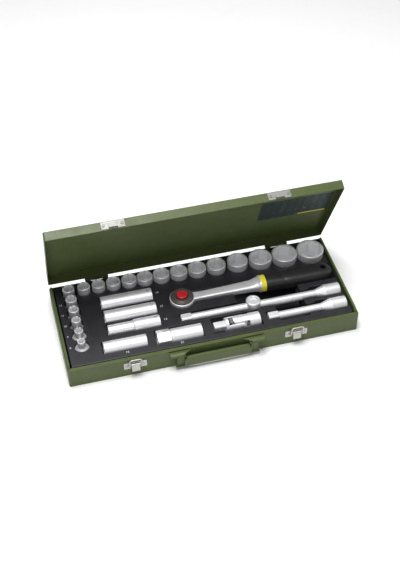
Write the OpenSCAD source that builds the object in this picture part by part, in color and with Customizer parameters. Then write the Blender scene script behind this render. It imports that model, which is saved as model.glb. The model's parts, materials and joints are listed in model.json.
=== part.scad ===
// Socket wrench set in a hinged sheet-steel case, with 29 tools in a moulded tray.
// Origin: centre of the underside of the case. +X runs along its length to the right, +Y towards the hinges,
// +Z up. The lid is drawn standing open, and every tool lies in its own pocket.

/* [Case] */
// Outside length of the case, along the row of sockets
case_w = 440; // [440:1:446]
// Outside depth of the case, front to back
case_d = 172; // [172:1:176]
// Height of the base, from its underside to the parting line
base_h = 34; // [34:0.1:35]
// Height of the lid's rim, from the parting line to its top
lid_h = 14.2; // [14:0.1:18]
// Thickness of the case's sheet steel
sheet = 1; // [0.8:0.1:1.2]
// Outside radius of the case's upright corners
corner_r = 2.5; // [2:0.1:4]
// Angle at which the lid stands open, measured from closed
lid_open = 65.6; // [60:0.1:100]
// Height of the side walls' raised lips above the parting line
lip_h = 4.5; // [3:0.1:6]
// Thickness of the folded side lips
lip_t = 3.2; // [2:0.1:4]
// Width of the ledge that the front wall folds inwards at its top
ledge_w = 5.5; // [4:0.1:6]

/* [Hinges and latches] */
// Distance of each hinge's middle from the middle of the case
hinge_x = 145; // [120:1:160]
// Length of each hinge
hinge_w = 36; // [30:1:40]
// Radius of the hinge knuckles
knuckle_r = 2.6; // [2.4:0.1:2.8]
// Distance of each latch's middle from the middle of the case
latch_x = 122; // [110:1:130]
// Width of the latch plates and catch plates
plate_w = 34; // [30:1:38]
// Width of a latch lever
lever_w = 12; // [10:0.5:12]
// Diameter of the bail wire
bail_d = 2; // [1.6:0.1:2.2]
// Angle at which a free bail leans away from the case
bail_lean = 12; // [10:0.5:16]

/* [Handle] */
// Overall length of the handle, over its two hoods
handle_w = 143; // [140:1:150]
// Length of each hood
hood_w = 31.5; // [30:0.5:33]
// Height of the handle's pivot
handle_z = 25; // [24:0.1:25.5]
// Height of the grip strip
grip_strip_h = 18; // [16:0.5:18]

/* [Tray] */
// Height of the tray's upper face
tray_top = 34.5; // [34:0.1:35]
// Thickness of the tray's moulded skin
tray_t = 1.5; // [1.2:0.1:1.6]
// Radius of the tray's corners
tray_r = 5; // [4:0.5:8]
// Gap between a tool and its pocket
pocket_gap = 0.8; // [0.6:0.1:1]

/* [Sockets] */
// Width across the flats of the square drive
drive = 12.7; // [12.7:0.1:12.7]
// Height of a short socket
socket_h = 38; // [36:0.5:38]
// Diameter of the drive end of the small sockets
drive_end_d = 21.4; // [20.5:0.1:21.4]
// Length of a deep socket
deep_l = 79; // [76:1:79]

/* [Ratchet] */
// Distance of the head's middle from the middle of the case, along the case
head_x = -28; // [-29:1:-27]
// Diameter of the ratchet's head
head_d = 38; // [37:0.5:39]
// Overall length of the ratchet
ratchet_l = 257; // [255:1:258]

/* [Hidden] */
$fn = 96;
clear = 0.3;
running = 0.05;
front_y = -case_d / 2;
hinge_y = case_d / 2 + 4;
wire_r = bail_d / 2;

// Upright sockets: the back row as [size, middle along the case], and the column at the left as sizes.
row = [[13, -192], [14, -168.5], [15, -146], [16, -123], [17, -98.5], [18, -74], [19, -48], [20, -20.5],
       [21, 8.5], [22, 39], [24, 73], [27, 109.5], [30, 148.2], [32, 190]];
row_back_y = 77;
column = [12, 11, 10, 9, 8];
column_x = -191.5;
column_y = 45.8;
column_step = 22;
socket_top = 44.5;

// Lying tools: [left end, right end, distance behind the middle, radius].
lying_top = 41.5;
deep_x = -149;
deep_19_y = 35;
deep_17_y = 5.5;
deep_13_y = -21.5;
plug_16 = [-162, -97.5, -54.5, 10.9];
plug_21 = [-82.5, -14, -55, 12.5];
plug_hex_af = 24;
bar_r = 6.1;
square_r = 7.7;
flare_r = 11;
bar_z = 30;
bar_tip_l = 15;
ext_250 = [-39, 210, -25.5];
ext_125 = [88, 210, -55];
head_slide_x = 73;
joint_x = 44;
joint_y = -53.5;
joint_z = 29.5;
joint_left = 4;
joint_right = 75;
joint_r = 12;
fork_gap = 7.5;
joint_pin_r = 3;

// Finger troughs: [left, right, front, back].
troughs = [[50, 150, -37, 8], [103, 150, -68, -36]];
trough_floor = 6;
tray_edge = 0.7;
rim_edge = 1.4;

// Ratchet: heights of its layers.
ratchet_y = 12;
ratchet_z = 33;
head_floor = 20.5;
head_top = 38;
dial_top = 42.6;
button_top = 44.8;
dial_r = 17.7;
button_r = 8.3;
gear_r = 11.6;
gear_teeth = 45;
journal_r = 9.6;
square_tip = 9;
ball_r = 2.4;
pawl_x = head_x + 15.2;
pawl_pin_r = 1;
ring_x = 95;
ring_w = 8;
grip_x = ring_x + ring_w;
grip_end = head_x - head_d / 2 + ratchet_l;
grip_z = 34.5;
tang_z = 33.5;
tang_r = 6;
tang_end = 142;

// ---- helpers ----

function arc(c, r, a0, a1, n = 6) =
    [for (i = [0:n]) c + r * [cos(a0 + (a1 - a0) * i / n), sin(a0 + (a1 - a0) * i / n)]];

function rounded(w, d, r) = concat(
    arc([w / 2 - r, d / 2 - r], r, 0, 90), arc([r - w / 2, d / 2 - r], r, 90, 180),
    arc([r - w / 2, r - d / 2], r, 180, 270), arc([w / 2 - r, r - d / 2], r, 270, 360));

// Outside diameter of a socket for a hexagon of this size.
function socket_d(size) = 1.29 * size + 1.2;
function pocket_r(size) = max(socket_d(size), size < 16 ? drive_end_d : 0) / 2 + pocket_gap;
function row_y(size) = row_back_y - max(socket_d(size), 18) / 2;

module rod_x(x0, x1, r) {
    translate([x0, 0, 0]) rotate([0, 90, 0]) cylinder(h = x1 - x0, r = r);
}

module box(low, high) {
    translate(low) cube(high - low);
}

// An outline in the Y-Z plane, drawn out along X.
module slab_x(x0, x1, points) {
    translate([x0, 0, 0]) rotate([90, 0, 90]) linear_extrude(x1 - x0) polygon(points);
}

// From the lid's closed place to the place where it stands open.
module at_lid() {
    translate([0, hinge_y, base_h]) rotate([-lid_open, 0, 0]) translate([0, -hinge_y, -base_h]) children();
}

module both_sides() {
    for (s = [0, 1]) mirror([s, 0, 0]) children();
}

// Local frame of a latch: its middle, at the front wall's outer face.
module at_latch(side) {
    translate([side * latch_x, front_y, 0]) children();
}

// ---- case ----

module base_shell() {
    color("darkolivegreen") union() {
        difference() {
            linear_extrude(base_h) polygon(rounded(case_w, case_d, corner_r));
            translate([0, 0, sheet]) linear_extrude(base_h)
                polygon(rounded(case_w - 2 * sheet, case_d - 2 * sheet, corner_r - sheet));
        }
        box([-case_w / 2 + 1.5, front_y + sheet / 2, base_h - sheet],
            [case_w / 2 - 1.5, front_y + ledge_w, base_h]);
        both_sides() side_lip();
    }
}

// A side wall's top is folded over into a thick lip, set in so that the lid's rim passes outside it.
module side_lip() {
    inset = 1.5;
    inner = case_w / 2 - inset - lip_t;
    y0 = front_y + ledge_w + 0.5;
    y1 = case_d / 2 - 2;
    z0 = base_h - 5;
    box([inner, y0, z0], [case_w / 2 - sheet / 2, y1, base_h - sheet / 2]);
    slab_x(inner, case_w / 2 - inset, [[y0, z0 + 1], [y0, base_h], [y0 + lip_h, base_h + lip_h],
        [y1 - 1, base_h + lip_h], [y1 - 1, z0 + 1]]);
}

module lid_shell() {
    rim = base_h + clear;
    color("olivedrab") at_lid() difference() {
        translate([0, 0, rim]) linear_extrude(lid_h - clear) polygon(rounded(case_w, case_d, corner_r));
        translate([0, 0, rim - 1]) linear_extrude(lid_h - clear - sheet + 1)
            polygon(rounded(case_w - 2 * sheet, case_d - 2 * sheet, corner_r - sheet));
    }
}

module lid_label() {
    under = base_h + lid_h - sheet;
    color("darkslategray") at_lid() box([104, -49, under - 0.3], [216, 10.5, under]);
}

// ---- hinges ----

hinge_pin_r = 1.2;
end_knuckle_w = 9;

module knuckle(x0, x1) {
    difference() {
        rod_x(x0, x1, knuckle_r);
        rod_x(x0 - 1, x1 + 1, hinge_pin_r + running);
    }
}

// Leaf on the back wall. up is 1 for the lid's leaf and -1 for the base's.
module leaf(up, spans) {
    web = [[-3.5, up * 1.5], [-1.4, up * 1.5], [-1.4, up * knuckle_r], [-3.5, up * knuckle_r]];
    slab_x(-hinge_w / 2, hinge_w / 2, [[-4, up * 1.6], [-3, up * 1.6], [-3, up * 12.5], [-4, up * 12.5]]);
    for (s = spans) {
        knuckle(s[0], s[1]);
        slab_x(s[0], s[1], web);
    }
}

module base_hinge_leaves() {
    h = hinge_w / 2;
    color("darkgreen") for (s = [-1, 1]) translate([s * hinge_x, hinge_y, base_h])
        leaf(-1, [[-h, -h + end_knuckle_w], [h - end_knuckle_w, h]]);
}

module lid_hinge_leaves() {
    m = hinge_w / 2 - end_knuckle_w - clear;
    color("darkgreen") at_lid() for (s = [-1, 1]) translate([s * hinge_x, hinge_y, base_h])
        leaf(1, [[-m, m]]);
}

module hinge_pins() {
    color("silver") for (s = [-1, 1]) translate([s * hinge_x, hinge_y, base_h])
        rod_x(-hinge_w / 2 - 0.6, hinge_w / 2 + 0.6, hinge_pin_r);
}

// ---- latches, in the local frame of a latch ----

latch_pin_y = -3.5;
latch_pin_z = 24.3;
latch_pin_r = 1.2;
bail_pivot_y = -2.9;
bail_pivot_z = 19.3;
bail_x = 8.9;
bail_l = 19.6;
bail_bend = 3;
plate_t = 0.9;
ear_x = 6.6;

module latch_plates() {
    color("lightgray") for (side = [-1, 1]) at_latch(side) union() {
        box([-plate_w / 2, -plate_t, 15], [plate_w / 2, 0, 27]);
        both_sides() difference() {
            union() {
                box([ear_x, latch_pin_y, 22], [ear_x + plate_t, -plate_t / 2, 26.6]);
                translate([0, latch_pin_y, latch_pin_z]) rod_x(ear_x, ear_x + plate_t, 2.3);
            }
            translate([0, latch_pin_y, latch_pin_z]) rod_x(ear_x - 1, ear_x + 2, latch_pin_r + running);
        }
    }
}

module rivet_head() {
    rotate([90, 0, 0]) difference() {
        union() {
            cylinder(h = 0.4, r = 2.2);
            translate([0, 0, 0.4]) cylinder(h = 0.5, r1 = 2.2, r2 = 1.6);
        }
        translate([0, 0, 0.4]) cylinder(h = 1, r = 0.9);
    }
}

module latch_rivets() {
    color("silver") for (side = [-1, 1]) at_latch(side) both_sides()
        translate([12.6, -plate_t, 20.5]) rivet_head();
}

module latch_pins() {
    color("silver") for (side = [-1, 1]) at_latch(side)
        translate([0, latch_pin_y, latch_pin_z]) rod_x(-ear_x - plate_t, ear_x + plate_t, latch_pin_r);
}

// The lever is a channel that wraps round the pin at its top and hangs down over the plate.
module latch_lever(side) {
    h = lever_w / 2;
    wrap_r = 2.2;
    front = -6.8;
    top = latch_pin_z;
    color("gainsboro") at_latch(side) difference() {
        union() {
            translate([0, latch_pin_y, latch_pin_z]) rod_x(-h, h, wrap_r);
            slab_x(-h, h, [[front, 14], [front + 1, 14], [latch_pin_y - wrap_r + 1, top],
                [latch_pin_y - wrap_r, top]]);
            both_sides() slab_x(h - 1, h, [[front + 0.5, 15], [-1.3, 17.6], [-1.3, 20.6],
                [latch_pin_y + wrap_r - 0.2, top], [latch_pin_y - wrap_r + 0.1, top]]);
        }
        translate([0, latch_pin_y, latch_pin_z]) rod_x(-h - 1, h + 1, latch_pin_r + running);
        translate([0, bail_pivot_y, bail_pivot_z]) rod_x(-h - 1, h + 1, wire_r + running);
    }
}

module latch_lever_left() { latch_lever(-1); }
module latch_lever_right() { latch_lever(1); }

// A bent wire: its ends turn in through the lever's cheeks, and its bar drops behind the lid's hook.
module latch_bail(side) {
    color("white") at_latch(side) translate([0, bail_pivot_y, bail_pivot_z]) rotate([bail_lean, 0, 0]) union() {
        both_sides() {
            rod_x(lever_w / 2 - 1.4, bail_x + wire_r, wire_r);
            translate([bail_x, 0, 0]) cylinder(h = bail_l - bail_bend, r = wire_r);
            translate([bail_x - bail_bend, 0, bail_l - bail_bend]) rotate([90, 0, 0])
                rotate_extrude(angle = 90) translate([bail_bend, 0]) circle(r = wire_r);
        }
        translate([0, 0, bail_l]) rod_x(bail_bend - bail_x, bail_x - bail_bend, wire_r);
    }
}

module latch_bail_left() { latch_bail(-1); }
module latch_bail_right() { latch_bail(1); }

module catch_plates() {
    w = 6.3;
    low = base_h + 1.7;
    shelf = base_h + 2.6;
    color("lightgray") at_lid() for (side = [-1, 1]) at_latch(side) union() {
        difference() {
            box([-plate_w / 2, -plate_t, low], [plate_w / 2, 0, base_h + 13.2]);
            box([-w + 0.8, -2, shelf + 1.5], [w - 0.8, 1, shelf + 5.6]);
        }
        slab_x(-w, w, [[-plate_t / 2, shelf], [-4.6, shelf], [-4.6, shelf + 5.6], [-3.75, shelf + 5.6],
            [-3.75, shelf + plate_t], [-plate_t / 2, shelf + plate_t]]);
    }
}

module catch_rivets() {
    color("silver") at_lid() for (side = [-1, 1]) at_latch(side) both_sides()
        translate([13.4, -plate_t, base_h + 7.4]) rivet_head();
}

// ---- handle, in a frame at the front wall's outer face ----

handle_pin_y = -5;
handle_pin_r = 1.5;
hood_r = 8;
hood_t = 1.2;
leg_in = 50.8;
leg_out = 61.2;

module handle_brackets() {
    outer = handle_w / 2;
    inner = outer - hood_w;
    color("darkolivegreen") translate([0, front_y, 0]) both_sides() union() {
        difference() {
            translate([0, handle_pin_y, handle_z]) rod_x(inner, outer, hood_r);
            translate([0, handle_pin_y, handle_z]) rod_x(inner - 1, outer - hood_t, hood_r - hood_t);
            box([inner - 1, -20, 0], [outer + 1, 5, handle_z + 5.2]);
            box([inner - 1, 0, 0], [outer + 1, 5, 40]);
            linear_extrude(50) polygon([[inner - 1, -2], [inner - 1, -15], [inner + 14, -15],
                [inner + 11.5, -9]]);
            linear_extrude(50) polygon([[outer + 1, -6.5], [outer + 1, -15], [outer - 6.5, -15]]);
        }
        box([inner + 2, -hood_t, 19], [outer - 1, 0, handle_z + 6]);
        difference() {
            union() for (x = [leg_in - 2.3, leg_out + 1.1]) {
                box([x, handle_pin_y, handle_z - 2.6], [x + hood_t, -hood_t / 2, handle_z + 5]);
                box([x, handle_pin_y - 2.2, handle_z + 1], [x + hood_t, handle_pin_y + 1, handle_z + 7]);
                translate([0, handle_pin_y, handle_z]) rod_x(x, x + hood_t, 2.8);
            }
            translate([0, handle_pin_y, handle_z]) rod_x(inner, outer, handle_pin_r + running);
        }
    }
}

module handle_pins() {
    color("silver") translate([0, front_y + handle_pin_y, handle_z]) both_sides()
        rod_x(leg_in - 2.3, leg_out + 2.3, handle_pin_r);
}

// A pressed strip with rolled edges between two flat legs that hang from the pins.
module handle() {
    low = 6.4;
    front = -10.8;
    back = -5.4;
    color("olivedrab") translate([0, front_y, 0]) difference() {
        union() {
            grip_strip(47.5, low, low + grip_strip_h, front, back);
            grip_strip(leg_in, low, 19.9, front, back);
            both_sides() {
                slab_x(leg_in - 0.5, leg_out, [[back - 2, low + 0.4], [back, low + 0.4], [back, handle_z],
                    [back - 2, handle_z]]);
                slab_x(leg_in - 2, leg_out + 2, [[front + 1, low], [back - 1, low], [back - 1, low + 1.4],
                    [front + 1, low + 1.4]]);
                translate([0, handle_pin_y, handle_z]) rod_x(leg_in - 0.5, leg_out, 3.3);
            }
        }
        translate([0, handle_pin_y, handle_z]) both_sides() rod_x(leg_in - 2, leg_out + 5, handle_pin_r + 0.1);
    }
}

// Channel section from low to high, open towards the wall, half_w to each side of the middle.
module grip_strip(half_w, low, high, front, back) {
    slab_x(-half_w, half_w, [[front, low + 1.2], [front + 1.2, low], [back, low], [back, low + 1.3],
        [front + 1.5, low + 1.3], [front + 1.5, high - 1.3], [back, high - 1.3], [back, high],
        [front + 1.2, high], [front, high - 1.2]]);
}

// ---- tray ----

// Every pocket, grown sideways and downwards by g, so that the same shape makes skin and hollow.
module pockets(g) {
    for (s = row) translate([s[1], row_y(s[0]), 0]) well(pocket_r(s[0]), short_top(s[0]) - short_h(s[0]), g);
    bay([row[0][1] + 5, row_y(13) - 6, 12], [row[13][1] - 5, row_y(13) + 5], g);
    for (i = [0:4]) translate([column_x, column_y - i * column_step, 0])
        well(pocket_r(column[i]), socket_top - socket_h, g);
    bay([column_x - 5, column_y - 4 * column_step, 12], [column_x + 5, row_y(13)], g);
    cradle(deep_x, deep_x + deep_l, deep_19_y, socket_d(19) / 2, lying_top, g);
    cradle(deep_x, deep_x + deep_l, deep_17_y, socket_d(17) / 2, lying_top, g);
    cradle(deep_x, deep_x + deep_l, deep_13_y, drive_end_d / 2, lying_top, g);
    cradle(plug_16[0], plug_16[1], plug_16[2], plug_16[3], lying_top, g);
    cradle(plug_21[0], plug_21[1], plug_21[2], plug_hex_af / 2 / cos(30), lying_top + 0.3, g);
    for (e = [ext_250, ext_125]) {
        cradle(e[0], e[1] - 40, e[2], square_r, bar_z + square_r, g);
        cradle(e[1] - 44, e[1], e[2], flare_r, bar_z + flare_r, g);
    }
    bay([joint_left - 2, joint_y - 15, joint_z - joint_r - clear], [joint_right + 2, joint_y + 15], g);
    bay([joint_x - 14, joint_y - 9, 12], [joint_x + 10, joint_y + 9], g);
    for (t = troughs) bay([t[0], t[2], trough_floor], [t[1], t[3]], g);
    translate([head_x, ratchet_y, 0]) {
        well(head_d / 2 + 1.5, head_floor - 0.4, g);
        well(11, square_tip - 1.5, g);
    }
    bay([head_x, ratchet_y - 11, 26], [ring_x, ratchet_y + 11], g);
    bay([ring_x - 20, ratchet_y - 13.6, 20.5], [ring_x, ratchet_y + 13.6], g);
    bay([ring_x - 3, ratchet_y - 16, 20.5], [grip_end + 1.5, ratchet_y + 17], g);
}

// Round pocket; its mouth is chamfered where it is drawn as a hollow.
module well(r, floor, g) {
    translate([0, 0, floor - g]) cylinder(h = tray_top + 1 - floor + g, r = r + g);
    if (g == 0) translate([0, 0, tray_top - tray_edge])
        cylinder(h = tray_edge + 1, r1 = r, r2 = r + tray_edge + 1);
}

// Square-cornered pocket from low to high in plan, low[2] deep, with the same chamfered mouth.
module bay(low, high, g) {
    box([low[0] - g, low[1] - g, low[2] - g], [high[0] + g, high[1] + g, tray_top + 1]);
    if (g == 0) {
        mid = (low[1] + high[1]) / 2;
        translate([0, mid, 0]) slab_x(low[0], high[0], flared((high[1] - low[1]) / 2));
        translate([(low[0] + high[0]) / 2, mid, 0]) rotate([0, 0, 90])
            slab_x(low[1] - mid, high[1] - mid, flared((high[0] - low[0]) / 2));
    }
}

function flared(w) = let (z = tray_top - tray_edge, f = tray_edge + 1)
    [[-w, z], [w, z], [w + f, z + f], [-w - f, z + f]];

// Pocket for a tool that lies along X: a half-round bed with straight sides above the tool's middle.
module cradle(x0, x1, y, r, top, g) {
    mid = top - r;
    bed = r + pocket_gap;
    translate([0, y, mid]) rod_x(x0 - 2 - g, x1 + 0.5 + g, r + clear + g);
    bay([x0 - 2, y - bed, mid + g], [x1 + 0.5, y + bed], g);
}

module tray() {
    w = case_w - 13;
    d = case_d - 7.5;
    back = (case_d - 2 * sheet - d) / 2 - clear;
    color([0.15, 0.14, 0.16]) difference() {
        union() {
            translate([0, back, sheet]) difference() {
                linear_extrude(tray_top - sheet) polygon(rounded(w, d, tray_r));
                translate([0, 0, -1]) linear_extrude(tray_top - sheet - tray_t + 1)
                    polygon(rounded(w - 2 * tray_t, d - 2 * tray_t, tray_r - tray_t));
            }
            intersection() {
                translate([0, back, sheet]) linear_extrude(tray_top - sheet) polygon(rounded(w, d, tray_r));
                pockets(tray_t);
            }
        }
        pockets(0);
        translate([0, back, 0]) for (a = [0, 180]) rotate([0, 0, a]) {
            slab_x(-w / 2, w / 2, rim_cut(d / 2));
            rotate([0, 0, 90]) slab_x(-d / 2, d / 2, rim_cut(w / 2));
        }
    }
}

// Wedge that chamfers the tray's outer rim, at this distance from its middle.
function rim_cut(w) = [[w - rim_edge, tray_top + 0.01], [w + 1, tray_top + 0.01], [w + 1, tray_top - rim_edge - 1],
    [w, tray_top - rim_edge]];

// ---- sockets, standing on the drive end at the origin with the hexagon up ----

// Half of the section of a socket: a drive end, and a hexagon end of its own diameter above the step.
module socket_turning(hex_r, drive_r, step, len) {
    rotate_extrude() polygon([[0, 0], [drive_r - 0.8, 0], [drive_r, 0.8], [drive_r, step],
        [hex_r, step + abs(drive_r - hex_r) * 0.8 + 0.01], [hex_r, len - 1], [hex_r - 0.8, len], [0, len]]);
}

module hexagon(af, h) {
    cylinder(h = h, r = af / 2 / cos(30), $fn = 6);
}

// Square drive hole below, hexagon above with a turned lead-in, and a round bore between them.
module socket_cuts(size, len, hex_depth) {
    square_depth = 14.5;
    box([-drive / 2 - 0.1, -drive / 2 - 0.1, -1], [drive / 2 + 0.1, drive / 2 + 0.1, square_depth]);
    translate([0, 0, square_depth - 1]) cylinder(h = len - square_depth, r = min(size * 0.4, 5));
    translate([0, 0, len - hex_depth]) hexagon(size + 0.1, hex_depth + 1);
    translate([0, 0, len - 1.2]) cylinder(h = 1.3, r1 = size / 2, r2 = size / 2 * 1.2);
}

function short_h(size) = size > 22 ? socket_h + 2 : socket_h;
function short_top(size) = size > 22 ? socket_top + 1.2 : socket_top;
function hex_depth(size) = min(10 + size * 0.35, 20);

module short_socket(size, x, y) {
    h = short_h(size);
    hex_r = socket_d(size) / 2;
    color("silver") translate([x, y, short_top(size) - h]) rotate([0, 0, 30 + 12 * sin(75 * size)]) difference() {
        socket_turning(hex_r, size < 16 ? drive_end_d / 2 : hex_r, size < 10 ? 22 : 17, h);
        socket_cuts(size, h, hex_depth(size));
    }
}

module row_socket(i) { short_socket(row[i][0], row[i][1], row_y(row[i][0])); }
module column_socket(i) { short_socket(column[i], column_x, column_y - i * column_step); }

module socket_08() { column_socket(4); }
module socket_09() { column_socket(3); }
module socket_10() { column_socket(2); }
module socket_11() { column_socket(1); }
module socket_12() { column_socket(0); }
module socket_13() { row_socket(0); }
module socket_14() { row_socket(1); }
module socket_15() { row_socket(2); }
module socket_16() { row_socket(3); }
module socket_17() { row_socket(4); }
module socket_18() { row_socket(5); }
module socket_19() { row_socket(6); }
module socket_20() { row_socket(7); }
module socket_21() { row_socket(8); }
module socket_22() { row_socket(9); }
module socket_24() { row_socket(10); }
module socket_27() { row_socket(11); }
module socket_30() { row_socket(12); }
module socket_32() { row_socket(13); }

// Lays a standing tool down along X with its top to the left, its drive end at x1.
module laid_left(x1, y, r) {
    translate([x1, y, lying_top - r]) rotate([0, -90, 0]) children();
}

// Lays a standing tool down along X with its top to the right, its drive end at x0.
module laid_right(x0, y, r) {
    translate([x0, y, lying_top - r]) rotate([0, 90, 0]) children();
}

module deep_socket(size, y, drive_r, step) {
    color("silver") laid_left(deep_x + deep_l, y, drive_r) difference() {
        socket_turning(socket_d(size) / 2, drive_r, step, deep_l);
        socket_cuts(size, deep_l, 26);
        translate([0, 0, 20]) cylinder(h = deep_l - 40, r = size * 0.47);
    }
}

module deep_socket_13() { deep_socket(13, deep_13_y, drive_end_d / 2, 39); }
module deep_socket_17() { deep_socket(17, deep_17_y, socket_d(17) / 2, 40); }
module deep_socket_19() { deep_socket(19, deep_19_y, socket_d(19) / 2, 40); }

rubber_z = 30;
rubber_l = 16;
rubber_wall = 2;

module plug_bore(size, len) {
    socket_cuts(size, len, 24);
    translate([0, 0, rubber_z]) cylinder(h = rubber_l + 1, r = size * 0.5);
}

module plug_rubber(size) {
    color("dimgray") translate([0, 0, rubber_z]) difference() {
        cylinder(h = rubber_l, r = size * 0.5 - running);
        translate([0, 0, -1]) cylinder(h = rubber_l + 2, r = size * 0.5 - rubber_wall);
    }
}

module spark_plug_socket_16() {
    len = plug_16[1] - plug_16[0];
    color("silver") laid_left(plug_16[1], plug_16[2], plug_16[3]) difference() {
        socket_turning(plug_16[3], plug_16[3], 30, len);
        plug_bore(16, len);
    }
}

module spark_plug_rubber_16() { laid_left(plug_16[1], plug_16[2], plug_16[3]) plug_rubber(16); }

// The drive end of the larger plug socket is a hexagon, so that a spanner can turn it too.
module spark_plug_socket_21() {
    len = plug_21[1] - plug_21[0];
    collar = 20;
    color("silver") laid_right(plug_21[0], plug_21[2], plug_21[3]) difference() {
        union() {
            intersection() {
                hexagon(plug_hex_af, collar);
                cylinder(h = collar, r1 = plug_hex_af / 2 + 0.6, r2 = plug_hex_af / 2 + 14);
            }
            translate([0, 0, collar - 1]) cylinder(h = 2.5, r = 11);
            translate([0, 0, collar + 1.2]) socket_turning(plug_21[3], plug_21[3], 20, len - collar - 1.2);
        }
        plug_bore(21, len);
    }
}

module spark_plug_rubber_21() { laid_right(plug_21[0], plug_21[2], plug_21[3]) plug_rubber(21); }

// ---- drive tools ----

module square_tip(x0, x1) {
    intersection() {
        box([x0, -drive / 2, -drive / 2], [x1, drive / 2, drive / 2]);
        rod_x(x0 - 1, x1 + 1, square_r);
        translate([x0 - 0.01, 0, 0]) rotate([0, 90, 0]) cylinder(h = x1 - x0 + 1, r1 = 6.6, r2 = 6.6 + x1 - x0);
    }
}

// A round bar with a square tip at the left and a flared square socket at the right.
module extension(e) {
    flare_l = 23;
    cone_l = 16;
    color("silver") translate([0, e[2], bar_z]) difference() {
        union() {
            square_tip(e[0], e[0] + bar_tip_l + 1);
            rod_x(e[0] + bar_tip_l, e[1] - flare_l - cone_l, bar_r);
            translate([e[1] - flare_l - cone_l, 0, 0]) rotate([0, 90, 0])
                cylinder(h = cone_l + 0.01, r1 = bar_r, r2 = flare_r);
            rod_x(e[1] - flare_l, e[1] - 1, flare_r);
            translate([e[1] - 1, 0, 0]) rotate([0, 90, 0]) cylinder(h = 1, r1 = flare_r, r2 = flare_r - 0.8);
        }
        box([e[1] - 16, -drive / 2 - 0.1, -drive / 2 - 0.1], [e[1] + 1, drive / 2 + 0.1, drive / 2 + 0.1]);
    }
}

module extension_250() { extension(ext_250); }
module extension_125() { extension(ext_125); }

// Sliding T head: a round block that slides along the long bar, with a square drive below.
module sliding_t_head() {
    r = 11;
    low = 19.5;
    high = 42.5;
    color("silver") translate([head_slide_x, ext_250[2], 0]) difference() {
        union() {
            rotate_extrude() polygon([[0, low], [r - 0.8, low], [r, low + 0.8], [r, high - 1.2],
                [r - 1.2, high], [0, high]]);
            translate([0, 0, 8.5]) intersection() {
                box([-drive / 2, -drive / 2, 0], [drive / 2, drive / 2, low - 8]);
                cylinder(h = 20, r = square_r);
            }
        }
        translate([0, 0, bar_z]) rod_x(-r - 1, r + 1, bar_r + 0.08);
        translate([0, 0, high - 2.8]) cylinder(h = 2.81, r1 = 6, r2 = 7.4);
    }
}

module at_joint() {
    translate([joint_x, joint_y, joint_z]) children();
}

// One of the two arms of a fork, on the +Z side. It runs from the fork's body, at reach, past the pin to a
// round end, end_r from the pin, and is w to each side of the pin.
module fork_arm(reach, end_r, w) {
    difference() {
        intersection() {
            union() {
                box([0, -w, fork_gap], [reach, w, joint_r]);
                translate([0, 0, fork_gap]) cylinder(h = joint_r - fork_gap, r = end_r);
            }
            box([-end_r - 1, -w, fork_gap], [reach, w, joint_r]);
            rod_x(-end_r - 1, reach + 1, joint_r - 0.3);
        }
        cylinder(h = joint_r + 1, r = joint_pin_r + running);
    }
}

module universal_joint_driver() {
    body = 21.5 - joint_x;
    color("silver") at_joint() union() {
        square_tip(joint_left - joint_x, body + 1);
        translate([joint_left - joint_x + 8.3, 1.2 - drive / 2, 0]) sphere(r = 2);
        rod_x(body, body + 4.5, joint_r - 0.3);
        for (a = [90, -90]) rotate([a, 0, 0]) mirror([1, 0, 0])
            fork_arm(-body - 4, 9, fork_gap - clear);
    }
}

module universal_joint_socket() {
    body = 14;
    right = joint_right - joint_x;
    color("silver") at_joint() difference() {
        union() {
            for (a = [0, 180]) rotate([a, 0, 0]) fork_arm(body + 1, 11.2, fork_gap - 0.7);
            rod_x(body, right - 1, joint_r);
            translate([right - 1, 0, 0]) rotate([0, 90, 0]) cylinder(h = 1, r1 = joint_r, r2 = joint_r - 0.8);
        }
        box([right - 13, -drive / 2 - 0.1, -drive / 2 - 0.1], [right + 1, drive / 2 + 0.1, drive / 2 + 0.1]);
    }
}

// Block with four round trunnions, two in each fork.
module universal_joint_cross() {
    half = fork_gap - clear;
    color("gray") at_joint() union() {
        box([-half, -half, -half], [half, half, half]);
        cylinder(h = 2 * joint_r - 5, r = joint_pin_r, center = true);
        rotate([90, 0, 0]) cylinder(h = 2 * joint_r - 5, r = joint_pin_r, center = true);
    }
}

// ---- ratchet ----

module at_head() {
    translate([head_x, ratchet_y, 0]) children();
}

// Plan outline of the forged neck: half its width at each distance from the head's middle, up to the ring.
neck_plan = [[8, 9], [18, 8], [30, 7.3], [60, 7.7], [90, 8.6], [108, 9.6], [117, 11], [123, 12.6]];
// Side outline: half its thickness at the same distances.
neck_side = [[8, 4.6], [18, 4.6], [30, 4.2], [60, 5], [90, 5.6], [108, 6.3], [117, 8.5], [123, 11.6]];

function mirrored(p) = concat(p, [for (i = [len(p) - 1:-1:0]) [p[i][0], -p[i][1]]]);

module ratchet_neck() {
    intersection() {
        translate([0, 0, head_floor]) linear_extrude(30) polygon(mirrored(neck_plan));
        translate([0, 30, ratchet_z]) rotate([90, 0, 0]) linear_extrude(60) polygon(mirrored(neck_side));
    }
}

module ratchet_body() {
    r = head_d / 2;
    color("lightgray") at_head() difference() {
        union() {
            translate([0, 0, head_floor]) rotate_extrude()
                polygon([[0, 0], [r - 2.5, 0], [r, 2.5], [r, head_top - head_floor - 1],
                    [r - 1, head_top - head_floor], [0, head_top - head_floor]]);
            ratchet_neck();
            translate([-head_x, 0, tang_z]) rod_x(ring_x - 4, tang_end, tang_r);
        }
        translate([0, 0, head_floor + 5]) cylinder(h = 30, r = 12.7);
        box([5, -6.5, head_floor + 5], [17.4, 6.5, head_top + 1]);
        translate([0, 0, head_floor - 1]) cylinder(h = 10, r = journal_r + running);
        translate([pawl_x - head_x, 0, 22]) cylinder(h = 10, r = pawl_pin_r + running);
    }
}

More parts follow.
